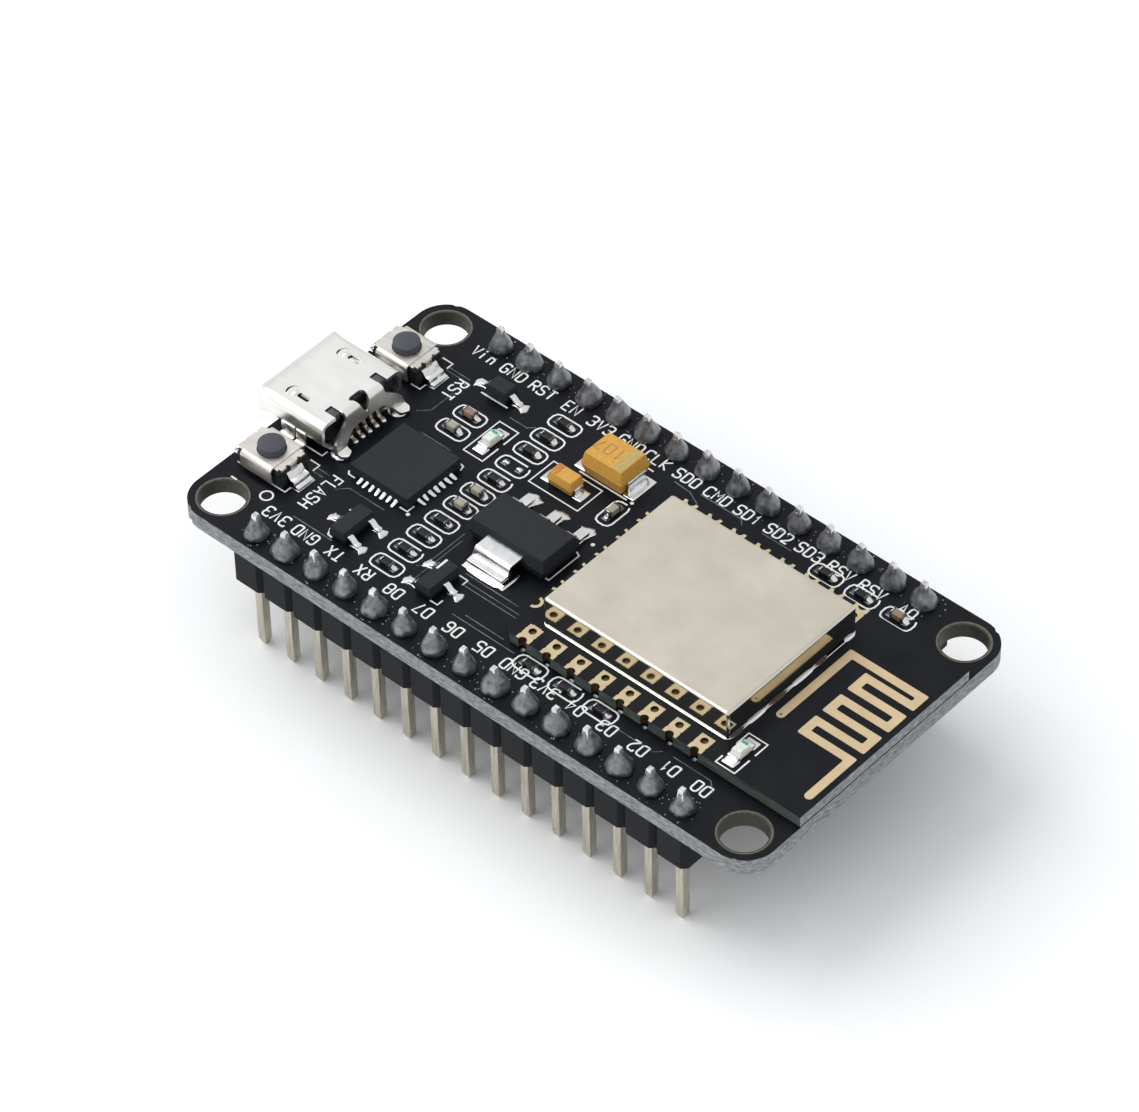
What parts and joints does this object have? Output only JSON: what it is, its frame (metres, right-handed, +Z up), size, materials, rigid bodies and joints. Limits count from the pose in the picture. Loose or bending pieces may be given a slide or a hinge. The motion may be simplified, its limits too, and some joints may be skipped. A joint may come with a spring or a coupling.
{
  "type": "microcontroller dev board",
  "caption": "Microcontroller development board with a shielded radio module, printed aerial, micro-USB inlet, reset and flash switches and two rows of header pins.",
  "frame": {"origin": "bottom centre of the whole board as it stands on its pin tips: midway between the USB mouth and the aerial end, and midway between the two long edges", "axes": "+X along the board from the USB inlet to the printed aerial, +Y from the D0 pin row to the A0 pin row, +Z up out of the component side"},
  "size_m": [0.0492, 0.0254, 0.0129],
  "materials": {
    "black_solder_mask": "semi-gloss black solder mask on glass-fibre laminate",
    "header_plastic": "moulded black polyamide, fine satin",
    "nickel_pin": "drawn brass wire with a pale bright plating",
    "usb_steel": "bright nickel plate on drawn steel",
    "insulator_plastic": "black liquid crystal polymer",
    "switch_steel": "satin stainless sheet",
    "button_plastic": "dark grey moulded nylon",
    "spring_steel": "rolled spring steel",
    "dark_epoxy": "charcoal epoxy moulding compound",
    "tinned_copper": "bright tin plate and solder",
    "tantalum_resin": "ochre epoxy moulding",
    "led_lens": "clear to milky moulded lens",
    "can_steel": "satin nickel-silver sheet",
    "gold_plate": "thin gold on copper pads and aerial",
    "silkscreen": "white epoxy ink",
    "solder": "dull tin solder",
    "ceramic": "fired ceramic capacitor body"
  },
  "bodies": {
    "root": {"crystal": "can_steel", "flash_memory_chip": "dark_epoxy", "flash_snap_dome": "spring_steel", "flash_switch_base": "insulator_plastic", "flash_switch_cover": "switch_steel", "header_pin_back_01": "nickel_pin", "header_pin_back_02": "nickel_pin", "header_pin_back_03": "nickel_pin", "header_pin_back_04": "nickel_pin", "header_pin_back_05": "nickel_pin", "header_pin_back_06": "nickel_pin", "header_pin_back_07": "nickel_pin", "header_pin_back_08": "nickel_pin", "header_pin_back_09": "nickel_pin", "header_pin_back_10": "nickel_pin", "header_pin_back_11": "nickel_pin", "header_pin_back_12": "nickel_pin", "header_pin_back_13": "nickel_pin", "header_pin_back_14": "nickel_pin", "header_pin_back_15": "nickel_pin", "header_pin_front_01": "nickel_pin", "header_pin_front_02": "nickel_pin", "header_pin_front_03": "nickel_pin", "header_pin_front_04": "nickel_pin", "header_pin_front_05": "nickel_pin", "header_pin_front_06": "nickel_pin", "header_pin_front_07": "nickel_pin", "header_pin_front_08": "nickel_pin", "header_pin_front_09": "nickel_pin", "header_pin_front_10": "nickel_pin", "header_pin_front_11": "nickel_pin", "header_pin_front_12": "nickel_pin", "header_pin_front_13": "nickel_pin", "header_pin_front_14": "nickel_pin", "header_pin_front_15": "nickel_pin", "header_strip_back": "header_plastic", "header_strip_front": "header_plastic", "input_diode": "dark_epoxy", "main_board": "black_solder_mask", "module_board": "black_solder_mask", "module_led": "led_lens", "power_led": "led_lens", "processor_chip": "dark_epoxy", "regulator_body": "dark_epoxy", "regulator_tab": "tinned_copper", "reset_snap_dome": "spring_steel", "reset_switch_base": "insulator_plastic", "reset_switch_cover": "switch_steel", "shield_can": "can_steel", "tantalum_capacitor_large": "tantalum_resin", "tantalum_capacitor_small": "tantalum_resin", "transistor_left": "dark_epoxy", "transistor_right": "dark_epoxy", "usb_insulator": "insulator_plastic", "usb_serial_chip": "dark_epoxy", "usb_shell": "usb_steel", "usb_shell_tail": "usb_steel"},
    "reset_button": {"reset_button": "button_plastic"},
    "flash_button": {"flash_button": "button_plastic"}
  },
  "joints": [
    {"name": "reset_press", "type": "slide", "parent": "root", "child": "reset_button", "axis": [0, 0, -1], "range_m": [0, 0.00025], "stiffness_N_per_m": 6000, "springref_m": -0.00002, "deforming": ["reset_snap_dome"]},
    {"name": "flash_press", "type": "slide", "parent": "root", "child": "flash_button", "axis": [0, 0, -1], "range_m": [0, 0.00025], "stiffness_N_per_m": 6000, "springref_m": -0.00002, "deforming": ["flash_snap_dome"]}
  ]
}
